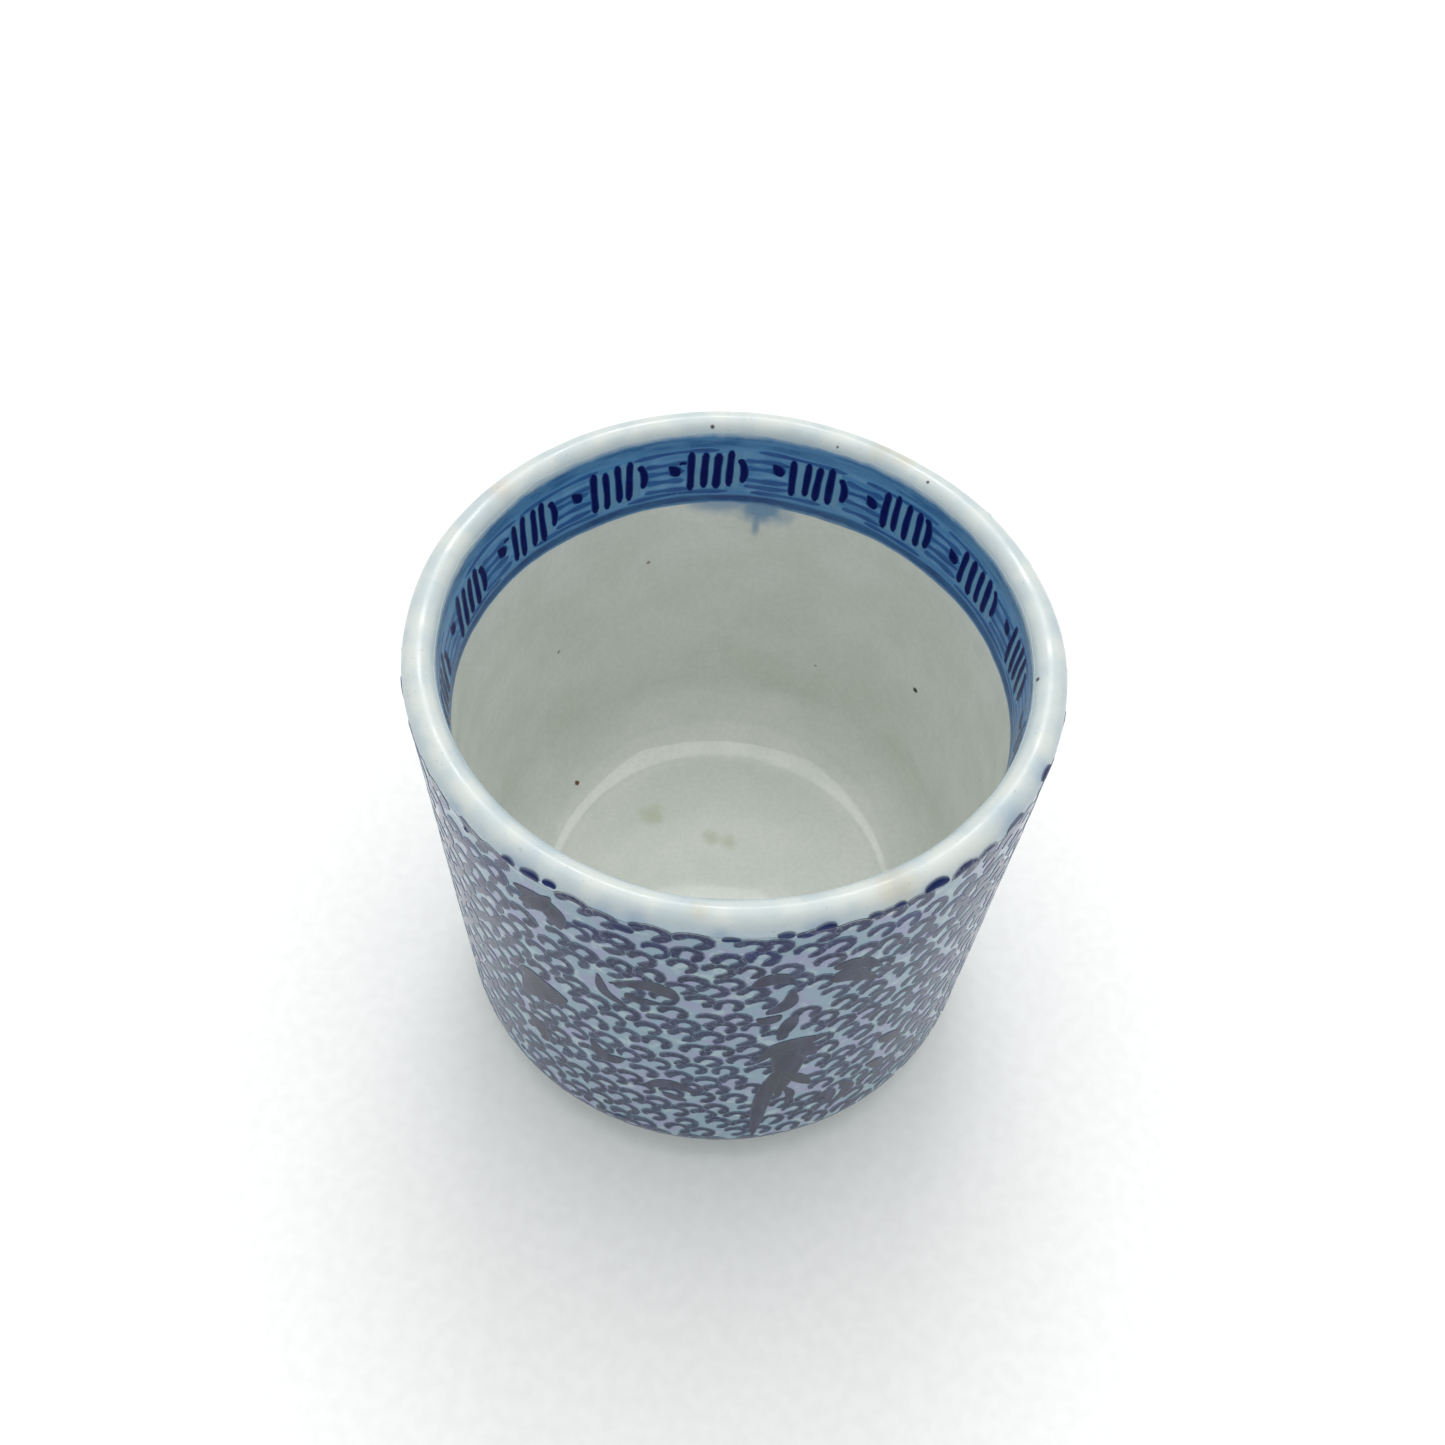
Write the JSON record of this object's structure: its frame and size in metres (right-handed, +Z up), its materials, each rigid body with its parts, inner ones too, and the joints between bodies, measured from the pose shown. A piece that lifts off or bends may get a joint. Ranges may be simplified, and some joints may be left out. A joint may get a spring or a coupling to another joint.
{
  "type": "teacup",
  "caption": "Small handleless porcelain teacup, nearly straight sided with a rounded lower corner, standing on a turned foot ring, with cobalt brushwork under a clear glaze.",
  "frame": {"origin": "on the cup's axis at the foot ring's lowest face, where the cup meets the table", "axes": "+Z up along the cup's axis; +X and +Y level, with the pictured front of the cup towards -Y"},
  "size_m": [0.076, 0.076, 0.07],
  "materials": {
    "biscuit": "fired bare porcelain, matt and slightly gritty",
    "bare_foot": "bare turned foot, matt, lightly toasted by the kiln",
    "cobalt_pattern": "cobalt hooks and washes on a pale blue ground, under the glaze",
    "cobalt_line": "brushed cobalt line under the glaze",
    "cobalt_wash": "thin cobalt wash under the glaze",
    "cobalt_dark": "thick dark cobalt strokes under the glaze",
    "clear_glaze": "clear glossy glaze with a faint blue green tint",
    "lip_white": "thick glossy whitish glaze",
    "celadon_glaze": "glossy grey green tinted clear glaze with small iron specks",
    "base_white": "glossy whitish glaze"
  },
  "bodies": {
    "root": {"porcelain_body": "biscuit", "foot_ring": "bare_foot", "outer_painting": "cobalt_pattern", "border_top_line": "cobalt_line", "border_wash": "cobalt_wash", "border_strokes": "cobalt_dark", "border_bottom_line": "cobalt_line", "outer_glaze": "clear_glaze", "lip_glaze": "lip_white", "inner_glaze": "celadon_glaze", "base_glaze": "base_white"}
  },
  "joints": []
}
